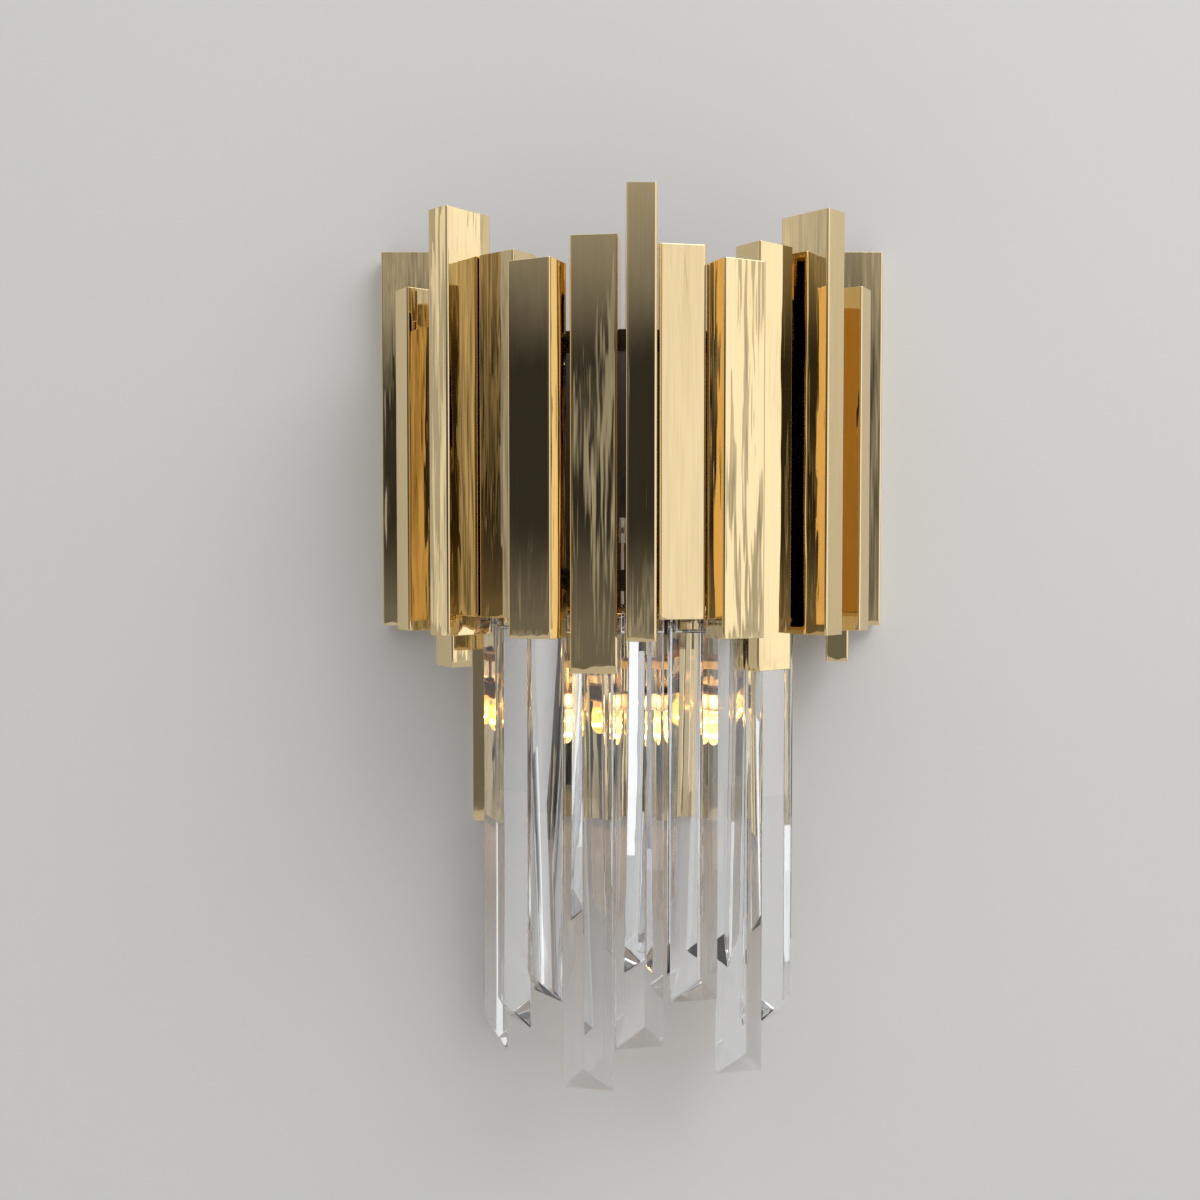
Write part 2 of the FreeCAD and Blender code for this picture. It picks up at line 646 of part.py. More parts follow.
def make_arm(hand):
    """Bar with an upturned foot on the front of the tray."""
    z0 = RING_FOOT + RING_THICK
    half = ARM_WIDE / 2
    middle = hand * ARM_X
    arm = block(middle - half, middle + half, TRAY_DEEP, ARM_REACH, z0, z0 + ARM_THICK)
    foot = block(middle - half, middle + half, TRAY_DEEP, TRAY_DEEP + ARM_FOOT_THICK, z0, z0 + ARM_FOOT_TALL)
    arm = arm.fuse(foot).removeSplitter()
    for inside, outside in ((OUTER_RING_IN, OUTER_RING_OUT), (INNER_RING_IN, INNER_RING_OUT)):
        for spot in ring_screw_spots(inside, outside):
            low = V(spot.x, spot.y, z0 - EPS)
            arm = arm.cut(rod(M3_SHANK_R + THREAD_ROOM, low, UP, ARM_THICK + 2 * EPS))
    for rows in (OUTER_CRYSTALS, inner_rows()):
        for x, out, yaw, long in rows:
            spot, along = pin_middle(x, out, yaw, long), rightward(yaw)
            for side in (-1, 1):
                head = spot + along * (side * HOOK_HALF_SPAN)
                low = V(head.x, head.y, z0 - EPS)
                arm = arm.cut(rod(HOOK_HEAD_R + SEAT_ROOM, low, UP, ARM_THICK + 2 * EPS))
    for spot in arm_screw_spots():
        arm = arm.cut(rod(M3_HOLE_R, spot + OUT * (ARM_FOOT_THICK + EPS), OUT * -1, ARM_FOOT_THICK + 2 * EPS))
    return arm


def make_ring_screws():
    """Screws up through the rings into the arms."""
    screws = []
    for inside, outside in ((OUTER_RING_IN, OUTER_RING_OUT), (INNER_RING_IN, INNER_RING_OUT)):
        for spot in ring_screw_spots(inside, outside):
            screws.append(cap_screw(V(spot.x, spot.y, RING_FOOT), UP, RING_THICK + ARM_THICK + SCREW_SPARE))
    return screws


def make_lamp_bar():
    """Bar across the lamps with its tab on the chin of the tray."""
    top = BAR_FOOT + BAR_THICK
    back = TRAY_DEEP
    bar = block(-BAR_HALF_WIDE, BAR_HALF_WIDE, back, BAR_FRONT, BAR_FOOT, top)
    tab = block(-BAR_TAB_HALF_WIDE, BAR_TAB_HALF_WIDE, back, back + BAR_TAB_THICK, BAR_FOOT, BAR_TAB_TOP)
    bar = bar.fuse(tab).removeSplitter()
    for spot in bar_screw_spots():
        bar = bar.cut(rod(M3_HOLE_R, spot + OUT * (BAR_TAB_THICK + EPS), OUT * -1, BAR_TAB_THICK + 2 * EPS))
    for hand in (-1, 1):
        bar = bar.cut(rod(M3_HOLE_R, at(hand * POST_X, LAMP_OUT, BAR_FOOT - EPS), UP, BAR_THICK + 2 * EPS))
        lead = at(hand * LEAD_X, LEAD_OUT, BAR_FOOT - EPS)
        bar = bar.cut(rod(LEAD_R + SEAT_ROOM, lead, UP, BAR_THICK + 2 * EPS))
    return bar


def make_channel():
    """Channel, open downwards, that carries the lamp holders."""
    w = CHANNEL_WALL
    back, front = LAMP_OUT - CHANNEL_DEEP / 2, LAMP_OUT + CHANNEL_DEEP / 2
    foot = CHANNEL_TOP - CHANNEL_TALL
    channel = block(-CHANNEL_HALF_WIDE, CHANNEL_HALF_WIDE, back, front, foot, CHANNEL_TOP)
    hollow = block(-CHANNEL_HALF_WIDE + w, CHANNEL_HALF_WIDE - w, back + w, front - w, foot - EPS, CHANNEL_TOP - w)
    channel = channel.cut(hollow)
    for hand in (-1, 1):
        low = at(hand * POST_X, LAMP_OUT, CHANNEL_TOP - w - EPS)
        channel = channel.cut(rod(M3_HOLE_R, low, UP, w + 2 * EPS))
    return channel


def make_posts():
    """Screwed posts between the lamp bar and the channel, each with three nuts."""
    solids = []
    top, foot = BAR_FOOT + BAR_THICK, CHANNEL_TOP - CHANNEL_WALL
    for hand in (-1, 1):
        low = foot - M3_NUT_TALL - SCREW_SPARE / 2
        start = at(hand * POST_X, LAMP_OUT, low)
        solids.append(rod(M3_SHANK_R, start, UP, top + M3_NUT_TALL + SCREW_SPARE / 2 - low))
        for seat, way in ((top, UP), (CHANNEL_TOP, UP), (foot, UP * -1)):
            base = at(hand * POST_X, LAMP_OUT, seat)
            solids.append(nut_on(M3_NUT_ACROSS, M3_NUT_TALL, M3_SHANK_R, base, way))
    return solids


def lamp_places():
    """Sideways places of the three lamps."""
    return [-LAMP_SPACING, 0.0, LAMP_SPACING]


def make_holders():
    """Ceramic two-pin holders under the web of the channel."""
    holders = []
    top = CHANNEL_TOP - CHANNEL_WALL
    for x in lamp_places():
        body = rounded_prism(HOLDER_WIDE, HOLDER_DEEP, HOLDER_TALL, 1.0)
        body.translate(at(x, LAMP_OUT + HOLDER_DEEP / 2, top - HOLDER_TALL))
        for hand in (-1, 1):
            pin = at(x + hand * BULB_PIN_HALF_SPAN, LAMP_OUT, top - HOLDER_TALL - EPS)
            body = body.cut(rod(BULB_PIN_R + 0.15, pin, UP, BULB_PIN_LONG + EPS + 0.5))
        holders.append(body)
    return holders


def make_bulbs():
    """Capsule bulbs with two pins."""
    bulbs = []
    top = CHANNEL_TOP - CHANNEL_WALL - HOLDER_TALL
    for x in lamp_places():
        seat = at(x, LAMP_OUT, top - BULB_SHOULDER)
        glass = rod(BULB_R, seat, UP, BULB_SHOULDER).fuse(Part.makeSphere(BULB_R, seat))
        for hand in (-1, 1):
            pin = at(x + hand * BULB_PIN_HALF_SPAN, LAMP_OUT, top)
            glass = glass.fuse(rod(BULB_PIN_R, pin, UP, BULB_PIN_LONG))
        bulbs.append(glass.removeSplitter())
    return bulbs


def screws_into_tray(spots, gripped):
    """Screws through a foot of the given thickness into the tray."""
    grip = gripped + TRAY_WALL + SCREW_SPARE
    return [cap_screw(spot + OUT * gripped, OUT * -1, grip) for spot in spots]


parts = {}
parts["wall_strap"] = make_strap()
parts["strap_studs"] = make_studs()
parts["cap_nuts"] = make_cap_nuts()
parts["back_tray"] = make_tray()
parts["cable_grommet"] = make_grommet()
parts["terminal_block"] = make_block()
parts["lamp_leads"] = make_leads()
parts["lower_mirror_plate"] = make_plate()
parts["plate_pillars"] = make_pillars()
parts["plate_screws"] = make_plate_screws()
parts["upper_hoop"] = make_hoop(UPPER_HOOP_Z)
parts["lower_hoop"] = make_hoop(LOWER_HOOP_Z)
parts["hoop_screws"] = screws_into_tray(tray_screw_spots(), HOOP_THICK)
parts["tube_spacers"] = make_spacers()
parts["tube_screws"] = make_tube_screws()
parts["tube_nuts"] = make_tube_nuts()

for number, (place, fixing) in enumerate(zip(TUBES, FIXINGS), 1):
    parts["shade_tube_%02d" % number] = drill_fixing(make_shade_tube(*place), *fixing)
for (name, x, out, yaw, hand), fixing in zip(INNER_TUBES, FIXINGS[len(TUBES):]):
    tube = make_shade_tube(x, out, yaw, (INNER_TUBE_WIDE, INNER_TUBE_DEEP), INNER_TUBE_FOOT, INNER_TUBE_LONG)
    parts[name] = drill_fixing(tube, *fixing)

parts["outer_crystal_ring"] = make_ring(OUTER_RING_IN, OUTER_RING_OUT, OUTER_RING_FROM, OUTER_CRYSTALS)
parts["inner_crystal_ring"] = make_ring(INNER_RING_IN, INNER_RING_OUT, INNER_RING_FROM, inner_rows())
parts["ring_arm_left"] = make_arm(-1)
parts["ring_arm_right"] = make_arm(1)
parts["arm_screws"] = screws_into_tray(arm_screw_spots(), ARM_FOOT_THICK)
parts["ring_screws"] = make_ring_screws()
parts["outer_hooks"] = make_hooks(OUTER_CRYSTALS)
parts["inner_hooks"] = make_hooks(inner_rows())
for number, row in enumerate(OUTER_CRYSTALS, 1):
    parts["outer_crystal_%d" % number] = make_crystal(*row)
for number, row in enumerate(inner_rows(), 1):
    parts["inner_crystal_%d" % number] = make_crystal(*row)

parts["lamp_bar"] = make_lamp_bar()
parts["bar_screws"] = screws_into_tray(bar_screw_spots(), BAR_TAB_THICK)
parts["lamp_channel"] = make_channel()
parts["channel_posts"] = make_posts()
parts["lamp_holders"] = make_holders()
parts["lamp_bulbs"] = make_bulbs()

os.makedirs("parts", exist_ok=True)
for name, shape in parts.items():
    if isinstance(shape, list):
        shape = Part.makeCompound(shape)
    shape.exportStep("parts/" + name + ".step")
print(len(parts), "pieces written")
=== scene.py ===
# %% [markdown]
# # A crystal wall sconce
#
# This lesson dresses a wall light: thirteen upright mirror-gold tubes stand round a half
# drum, and long clear prisms hang under them round three small lamps. The solids come
# from the CAD model as a fixed frame. Blender adds the finish, the polished edges of the
# crystals, the lamps' glass and filaments, and the studio.

# %% Load the frame
import bpy
import bmesh
import json
import math
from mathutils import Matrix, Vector

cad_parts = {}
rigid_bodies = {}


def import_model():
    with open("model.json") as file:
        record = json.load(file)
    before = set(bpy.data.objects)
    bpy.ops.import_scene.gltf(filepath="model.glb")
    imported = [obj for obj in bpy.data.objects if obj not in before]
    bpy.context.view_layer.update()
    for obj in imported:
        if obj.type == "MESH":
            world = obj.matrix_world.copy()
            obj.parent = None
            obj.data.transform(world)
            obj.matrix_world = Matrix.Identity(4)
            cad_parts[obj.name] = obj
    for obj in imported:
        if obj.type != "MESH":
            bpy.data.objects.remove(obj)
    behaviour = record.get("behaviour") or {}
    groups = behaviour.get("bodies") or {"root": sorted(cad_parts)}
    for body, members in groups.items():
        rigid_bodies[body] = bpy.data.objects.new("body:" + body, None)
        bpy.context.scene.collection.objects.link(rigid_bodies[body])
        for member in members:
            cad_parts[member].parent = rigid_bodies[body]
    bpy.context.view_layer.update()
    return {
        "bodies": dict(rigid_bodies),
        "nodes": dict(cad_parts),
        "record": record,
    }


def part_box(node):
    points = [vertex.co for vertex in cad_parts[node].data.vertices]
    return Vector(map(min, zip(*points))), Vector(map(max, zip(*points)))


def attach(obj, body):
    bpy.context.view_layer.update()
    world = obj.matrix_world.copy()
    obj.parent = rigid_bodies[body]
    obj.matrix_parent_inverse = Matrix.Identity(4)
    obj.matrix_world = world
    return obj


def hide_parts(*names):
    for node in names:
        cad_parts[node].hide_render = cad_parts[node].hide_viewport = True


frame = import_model()
nodes = frame["nodes"]
MM = 0.001
FRAME_BODY = "sconce_frame"

# %% [markdown]
# ## Small helpers for materials
#
# Every finish is a Principled BSDF with a few texture nodes in front of it. Two short
# helpers keep the cells readable: one makes a node and sets its sockets, the other makes
# an empty material and hands back its tree.

# %% Material helpers
def add_node(tree, kind, **values):
    """Add a shader node and set sockets or properties by name."""
    node = tree.nodes.new(kind)
    for name, value in values.items():
        label = name.replace("_", " ")
        if label in node.inputs:
            node.inputs[label].default_value = value
        else:
            setattr(node, name, value)
    return node


def new_material(name):
    """Material with only a Principled BSDF and its output."""
    material = bpy.data.materials.new(name)
    material.use_nodes = True
    tree = material.node_tree
    tree.nodes.clear()
    out = tree.nodes.new("ShaderNodeOutputMaterial")
    shader = tree.nodes.new("ShaderNodeBsdfPrincipled")
    tree.links.new(shader.outputs["BSDF"], out.inputs["Surface"])
    return material, tree, shader


# %% [markdown]
# ## Rolled and polished sheet
#
# The tubes are thin brass sheet, rolled, folded and polished. Polishing leaves a mirror
# that isn't quite flat: reflections ripple across the face and run long down it. There
# are also faint streaks where the wheel ran, and dull patches left by a cloth. Close to a
# sawn end the sheet relaxes and bells a little, so reflections curl there. The group takes
# the height of the foot and puts out one height in millimetres and two masks.

# %% Shader group: polished sheet
def socket(group, name, way, kind, value=None):
    """Add a named socket to a node group."""
    made = group.interface.new_socket(name=name, in_out=way, socket_type=kind)
    if value is not None:
        made.default_value = value
    return made


def noise(tree, vector, scale, detail=2.0, rough=0.5):
    """Noise texture on a vector; gives its value."""
    node = add_node(tree, "ShaderNodeTexNoise", Scale=scale, Detail=detail, Roughness=rough)
    tree.links.new(vector, node.inputs["Vector"])
    return node.outputs["Fac"]


def stretched(tree, source, across, along):
    """Vector scaled level by across and upright by along."""
    node = add_node(tree, "ShaderNodeMapping")
    node.inputs["Scale"].default_value = (across, across, along)
    tree.links.new(source, node.inputs["Vector"])
    return node.outputs["Vector"]


def math_node(tree, operation, first, second=0.0):
    """Math node whose inputs are numbers or sockets."""
    node = add_node(tree, "ShaderNodeMath", operation=operation)
    for socket_in, value in zip(node.inputs, (first, second)):
        if isinstance(value, (int, float)):
            socket_in.default_value = value
        else:
            tree.links.new(value, socket_in)
    return node.outputs["Value"]


# How far each pattern is drawn out upright, and how fine it is across
RIPPLE_ALONG, SWELL_ALONG, NARROW_ALONG, STREAK_ALONG = 0.13, 0.3, 0.07, 0.012
SWELL_SCALE, NARROW_SCALE, STREAK_SCALE, SMEAR_SCALE = 26.0, 330.0, 1400.0, 28.0
SWELL_SHARE, NARROW_SHARE = 2.0, 0.22
BELL_TALL, BELL_POWER = 16 * MM, 3.0

polish = bpy.data.node_groups.new("Polished sheet", "ShaderNodeTree")
sheet_inputs = {"Ripple width": 90.0, "Ripple mm": 0.12, "Foot": -1.0, "Bell mm": 0.0}
for name, value in sheet_inputs.items():
    socket(polish, name, "INPUT", "NodeSocketFloat", value)
for name in ("Height mm", "Streaks", "Smears"):
    socket(polish, name, "OUTPUT", "NodeSocketFloat")
entry = polish.nodes.new("NodeGroupInput")
leave = polish.nodes.new("NodeGroupOutput")
place = polish.nodes.new("ShaderNodeTexCoord")
spot = place.outputs["Object"]
wide_node = add_node(polish, "ShaderNodeTexNoise", Detail=1.2, Roughness=0.4)
polish.links.new(stretched(polish, spot, 1.0, RIPPLE_ALONG), wide_node.inputs["Vector"])
polish.links.new(entry.outputs["Ripple width"], wide_node.inputs["Scale"])
wide = wide_node.outputs["Fac"]
swell_place = stretched(polish, spot, 1.0, SWELL_ALONG)
long_swell = noise(polish, swell_place, SWELL_SCALE, 1.0, 0.4)
narrow_place = stretched(polish, spot, 1.0, NARROW_ALONG)
narrow = noise(polish, narrow_place, NARROW_SCALE, 1.0, 0.5)
swell_part = math_node(polish, "MULTIPLY", long_swell, SWELL_SHARE)
ripple = math_node(polish, "ADD", wide, swell_part)
narrow_part = math_node(polish, "MULTIPLY", narrow, NARROW_SHARE)
ripple = math_node(polish, "ADD", ripple, narrow_part)
ripple = math_node(polish, "MULTIPLY", ripple, entry.outputs["Ripple mm"])
axes = polish.nodes.new("ShaderNodeSeparateXYZ")
polish.links.new(spot, axes.inputs["Vector"])
above = math_node(polish, "SUBTRACT", axes.outputs["Z"], entry.outputs["Foot"])
near = add_node(polish, "ShaderNodeMapRange", From_Max=BELL_TALL, To_Min=1.0, To_Max=0.0)
polish.links.new(above, near.inputs["Value"])
bell_shape = math_node(polish, "POWER", near.outputs["Result"], BELL_POWER)
warped = math_node(polish, "MULTIPLY", bell_shape, math_node(polish, "ADD", wide, 0.3))
bell = math_node(polish, "MULTIPLY", warped, entry.outputs["Bell mm"])
polish.links.new(math_node(polish, "SUBTRACT", ripple, bell), leave.inputs["Height mm"])
streak_place = stretched(polish, spot, 1.0, STREAK_ALONG)
fine = noise(polish, streak_place, STREAK_SCALE, 2.0, 0.6)
polish.links.new(fine, leave.inputs["Streaks"])
smear = noise(polish, spot, SMEAR_SCALE, 4.0, 0.62)
smear_range = add_node(polish, "ShaderNodeMapRange", From_Min=0.45, From_Max=0.75)
polish.links.new(smear, smear_range.inputs["Value"])
polish.links.new(smear_range.outputs["Result"], leave.inputs["Smears"])
print("group", polish.name, "has", len(polish.nodes), "nodes")

# %% [markdown]
# ## Gold finishes
#
# Bright sheet and gold bars share one recipe. The colour is a pale champagne gold that
# goes a little deeper along the streaks. Roughness stays very low and rises in the smears.
# The ripple only bends the mirror, so it is a very low bump. The sheet tubes end at four
# foot heights, and each height has its own material for the bell. The bar that carries the
# lamps is satin, so that it spreads their light.

# %% Gold materials
def gold(name, colour, deep, rough, dull, ripple, ripple_width=90.0, foot=-1.0, bell=0.0):
    """Polished gold with its ripple and its bell in millimetres."""
    material, tree, shader = new_material(name)
    sheet = tree.nodes.new("ShaderNodeGroup")
    sheet.node_tree = polish
    sheet.inputs["Ripple width"].default_value = ripple_width
    sheet.inputs["Ripple mm"].default_value = ripple
    sheet.inputs["Foot"].default_value = foot
    sheet.inputs["Bell mm"].default_value = bell
    tint = add_node(tree, "ShaderNodeMix", data_type="RGBA")
    tint.inputs["A"].default_value = (*colour, 1.0)
    tint.inputs["B"].default_value = (*deep, 1.0)
    tree.links.new(sheet.outputs["Streaks"], tint.inputs["Factor"])
    tree.links.new(tint.outputs["Result"], shader.inputs["Base Color"])
    range_node = add_node(tree, "ShaderNodeMapRange", To_Min=rough, To_Max=dull)
    tree.links.new(sheet.outputs["Smears"], range_node.inputs["Value"])
    tree.links.new(range_node.outputs["Result"], shader.inputs["Roughness"])
    bump = add_node(tree, "ShaderNodeBump", Strength=1.0, Distance=MM)
    tree.links.new(sheet.outputs["Height mm"], bump.inputs["Height"])
    tree.links.new(bump.outputs["Normal"], shader.inputs["Normal"])
    shader.inputs["Metallic"].default_value = 1.0
    return material


CHAMPAGNE, DEEP_CHAMPAGNE = (0.87, 0.71, 0.43), (0.79, 0.60, 0.31)
BAR_COLOUR, DEEP_BAR_COLOUR = (0.86, 0.68, 0.38), (0.76, 0.56, 0.29)
SATIN_COLOUR, DEEP_SATIN_COLOUR = (0.95, 0.72, 0.34), (0.88, 0.62, 0.27)
mirror_gold = gold("mirror gold sheet", CHAMPAGNE, DEEP_CHAMPAGNE, 0.02, 0.09, 0.10)
bar_gold = gold("polished gold bar", BAR_COLOUR, DEEP_BAR_COLOUR, 0.08, 0.18, 0.05, 220.0)
satin_gold = gold("satin gold bar", SATIN_COLOUR, DEEP_SATIN_COLOUR, 0.45, 0.55, 0.03, 260.0)
print("gold finishes:", mirror_gold.name, bar_gold.name, satin_gold.name)

# %% [markdown]
# ## Steel, ceramic, rubber and plastic
#
# The hidden hardware is plain: zinc-plated screws with a slight blotch, white ceramic
# holders, a black rubber grommet and pale plastic. The lamp channel has dark paint. The
# tray and the hoops take the same near-black finish as painted shade, so the gaps
# between the tubes stay dark. One recipe covers them: a base colour mottled by soft
# patches, which also change the polish, and a fine grain in the bump.

# %% Plain materials
PATCH_SHARE = 0.08


def plain(name, colour, deep, rough, metallic=0.0, grain=900.0, height=0.02):
    """Mottled plain finish with a fine grain, its height in millimetres."""
    material, tree, shader = new_material(name)
    place = tree.nodes.new("ShaderNodeTexCoord")
    patch = noise(tree, place.outputs["Object"], grain * PATCH_SHARE, 3.0, 0.6)
    grains = noise(tree, place.outputs["Object"], grain, 2.0, 0.55)
    tint = add_node(tree, "ShaderNodeMix", data_type="RGBA")
    tint.inputs["A"].default_value = (*colour, 1.0)
    tint.inputs["B"].default_value = (*deep, 1.0)
    tree.links.new(patch, tint.inputs["Factor"])
    tree.links.new(tint.outputs["Result"], shader.inputs["Base Color"])
    range_node = add_node(tree, "ShaderNodeMapRange", To_Min=rough * 0.8, To_Max=rough * 1.25)
    tree.links.new(patch, range_node.inputs["Value"])
    tree.links.new(range_node.outputs["Result"], shader.inputs["Roughness"])
    bump = add_node(tree, "ShaderNodeBump", Strength=0.6, Distance=height * MM)
    tree.links.new(grains, bump.inputs["Height"])
    tree.links.new(bump.outputs["Normal"], shader.inputs["Normal"])
    shader.inputs["Metallic"].default_value = metallic
    return material


zinc = plain("zinc plate", (0.62, 0.62, 0.60), (0.50, 0.50, 0.50), 0.32, 1.0)
# Near-black satin: real paint on the lamp channel; on the tray and the hoops it is painted shade
# that keeps the gaps between the tubes dark.
dark_paint_and_gap_shade = plain("dark satin paint and gap shade", (0.035, 0.031, 0.028), (0.055, 0.048, 0.042), 0.42)
bright_wire = plain("bright hook wire", (0.78, 0.77, 0.74), (0.66, 0.64, 0.60), 0.14, 1.0)
white_ceramic = plain("white ceramic", (0.86, 0.84, 0.79), (0.78, 0.75, 0.69), 0.38, height=0.01)
black_rubber = plain("black rubber", (0.018, 0.018, 0.018), (0.035, 0.034, 0.033), 0.62)
pale_plastic = plain("pale plastic", (0.84, 0.83, 0.78), (0.78, 0.77, 0.72), 0.34)
lead_sleeve = plain("woven lead sleeve", (0.86, 0.83, 0.75), (0.72, 0.69, 0.60), 0.6, height=0.05)
print("plain finishes made, from", zinc.name, "to", lead_sleeve.name)

# %% [markdown]
# ## Crystal
#
# The prisms are cast glass, ground and polished. Clear glass needs very little: full
# transmission, a refractive index of about 1.54 and a mirror-smooth surface. What tells
# it from plastic is the faint waviness of the ground faces and the tiny variation of
# polish, so both are there, far too low to see by themselves.

# %% Glass materials
def clear_glass(name, colour, index, wave, rough):
    """Clear glass whose faces are slightly wavy."""
    material, tree, shader = new_material(name)
    place = tree.nodes.new("ShaderNodeTexCoord")
    swell = noise(tree, stretched(tree, place.outputs["Object"], 1.0, 0.35), 120.0, 1.0, 0.4)
    cloud = noise(tree, place.outputs["Object"], 60.0, 3.0, 0.6)
    tint = add_node(tree, "ShaderNodeMix", data_type="RGBA")
    tint.inputs["A"].default_value = (*colour, 1.0)
    tint.inputs["B"].default_value = (colour[0] * 0.985, colour[1] * 0.992, colour[2], 1.0)
    tree.links.new(cloud, tint.inputs["Factor"])
    tree.links.new(tint.outputs["Result"], shader.inputs["Base Color"])
    range_node = add_node(tree, "ShaderNodeMapRange", From_Min=0.5, From_Max=0.8, To_Max=rough)
    tree.links.new(cloud, range_node.inputs["Value"])
    tree.links.new(range_node.outputs["Result"], shader.inputs["Roughness"])
    bump = add_node(tree, "ShaderNodeBump", Strength=1.0, Distance=wave * MM)
    tree.links.new(swell, bump.inputs["Height"])
    tree.links.new(bump.outputs["Normal"], shader.inputs["Normal"])
    shader.inputs["IOR"].default_value = index
    shader.inputs["Transmission Weight"].default_value = 1.0
    return material


CRYSTAL_INDEX, LAMP_INDEX = 1.54, 1.46
crystal = clear_glass("crystal", (0.985, 0.99, 0.995), CRYSTAL_INDEX, 0.02, 0.02)
print("glass:", crystal.name, "index", CRYSTAL_INDEX)

# %% [markdown]
# ## Finishes on the CAD solids
#
# Each CAD node keeps its shape and takes the finish of its record slot. The bulbs are left
# out here, because new pieces replace them further down.

# %% Assign the finishes
slot_of = {entry["node"]: entry["material_slot"] for entry in frame["record"]["subparts"]}
body_of_node = {name: name if name in frame["bodies"] else FRAME_BODY for name in slot_of}
finish_of_slot = {
    "mirror_gold": mirror_gold,
    "polished_gold": bar_gold,
    "zinc_steel": zinc,
    # The near-black finish is also painted shade in the gaps behind the tubes.
    "dark_steel": dark_paint_and_gap_shade,
    "hook_wire": bright_wire,
    "crystal": crystal,
    "ceramic": white_ceramic,
    "rubber": black_rubber,
    "terminal_plastic": pale_plastic,
    "lead_sleeve": lead_sleeve,
}
for name, node in nodes.items():
    finish = finish_of_slot.get(slot_of[name])
    if finish is None:
        continue
    node.data.materials.clear()
    node.data.materials.append(finish)
nodes["lamp_bar"].data.materials[0] = satin_gold
print("finished nodes:", len(nodes))

# %% [markdown]
# ## Tubes with deburred ends
#
# The ends of a sawn tube are deburred and polished, so each rim is a thin round line that
# always catches some light. A copy of every CAD tube is merged and its end rims are
# bevelled. The copy then takes the gold made for its own foot height.

# %% Tubes with rounded rims
RIM = 0.35 * MM
LEVEL = 0.01 * MM
SMOOTH_UNDER = 35.0


def clean_copy(node, name):
    """New piece from a CAD node's mesh, merged and with flat faces joined."""
    mesh = node.data.copy()
    mesh.name = name
    piece = bpy.data.objects.new(name, mesh)
    bpy.context.scene.collection.objects.link(piece)
    bm = bmesh.new()
    bm.from_mesh(mesh)
    bmesh.ops.remove_doubles(bm, verts=bm.verts, dist=0.002 * MM)
    bmesh.ops.dissolve_limit(bm, angle_limit=math.radians(1.0), verts=bm.verts, edges=bm.edges)
    return piece, bm


def round_off(bm, edges, width):
    """Bevel edges in two steps."""
    bmesh.ops.bevel(bm, geom=edges, offset=width, offset_type="OFFSET", affect="EDGES",
                    segments=2, profile=0.5, material=-1, clamp_overlap=True)


def settle(piece, bm, source, finish):
    """Write the mesh back with smooth curves and sharp edges, then hand it over."""
    bmesh.ops.recalc_face_normals(bm, faces=bm.faces)
    for face in bm.faces:
        face.smooth = True
    for edge in bm.edges:
        paired = len(edge.link_faces) == 2
        edge.smooth = paired and edge.calc_face_angle() < math.radians(SMOOTH_UNDER)
    bm.to_mesh(piece.data)
    bm.free()
    piece.data.materials.clear()
    piece.data.materials.append(finish)
    flat = piece.modifiers.new("flat faces stay flat", "WEIGHTED_NORMAL")
    flat.keep_sharp = True
    flat.weight = 100
    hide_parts(source)
    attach(piece, body_of_node[source])
    return piece


def level_ends(bm):
    """Edges round the flat ends of an upright piece."""
    low = min(v.co.z for v in bm.verts)
    high = max(v.co.z for v in bm.verts)
    found = []
    for edge in bm.edges:
        a, b = edge.verts[0].co.z, edge.verts[1].co.z
        flat = abs(a - b) < LEVEL and (abs(a - low) < LEVEL or abs(a - high) < LEVEL)
        if flat and len(edge.link_faces) == 2 and edge.calc_face_angle() > math.radians(60):
            found.append(edge)
    return found


gold_by_foot = {}
tubes = []
for name in sorted(nodes):
    if not (name.startswith("shade_tube_") or name in ("inner_tube_left", "inner_tube_right")):
        continue
    foot = round(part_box(name)[0][2], 4)
    if foot not in gold_by_foot:
        title = "mirror gold tube %d" % round(-foot / MM)
        gold_by_foot[foot] = gold(title, CHAMPAGNE, DEEP_CHAMPAGNE, 0.02, 0.08, 0.26,
                                  foot=foot, bell=0.7)
    piece, bm = clean_copy(nodes[name], "polished_" + name)
    round_off(bm, level_ends(bm), RIM)
    tubes.append(settle(piece, bm, name, gold_by_foot[foot]))
print("tubes:", len(tubes), "with", len(gold_by_foot), "foot heights")

# %% [markdown]
# ## Polished edges of the prisms
#
# A ground prism never has a knife edge: each arris is polished to a narrow flat that
# catches a bright line of light all the way down. The CAD prism has sharp edges, so a copy
# of it is merged, its coplanar triangles are joined, and its long edges are bevelled. The
# pin hole stays as it is.

# %% Prisms with polished arrises
ARRIS = 0.85 * MM
LONG_EDGE = 8 * MM


def polish_prism(name):
    """Bevel every edge of the prism that is long and sharp."""
    piece, bm = clean_copy(nodes[name], "polished_" + name)
    sharp = [e for e in bm.edges if e.calc_length() > LONG_EDGE and len(e.link_faces) == 2
             and e.calc_face_angle() > math.radians(20)]
    round_off(bm, sharp, ARRIS)
    bm.to_mesh(piece.data)
    bm.free()
    piece.data.materials.clear()
    piece.data.materials.append(crystal)
    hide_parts(name)
    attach(piece, name)
    return piece


prisms = [polish_prism(name) for name in sorted(nodes) if slot_of[name] == "crystal"]
print("polished prisms:", len(prisms), "faces on the first:", len(prisms[0].data.polygons))

# %% [markdown]
# ## Lamps
#
# Three capsule bulbs stand under the channel, lit. The envelope is clear glass, pinched
# flat where the pins enter, and the filament hangs inside as a fine coil between two
# support wires. The lit coil and the warm halo round it are what the eye sees, so the coil
# glows strongly and the glass round it carries a little of the same light.

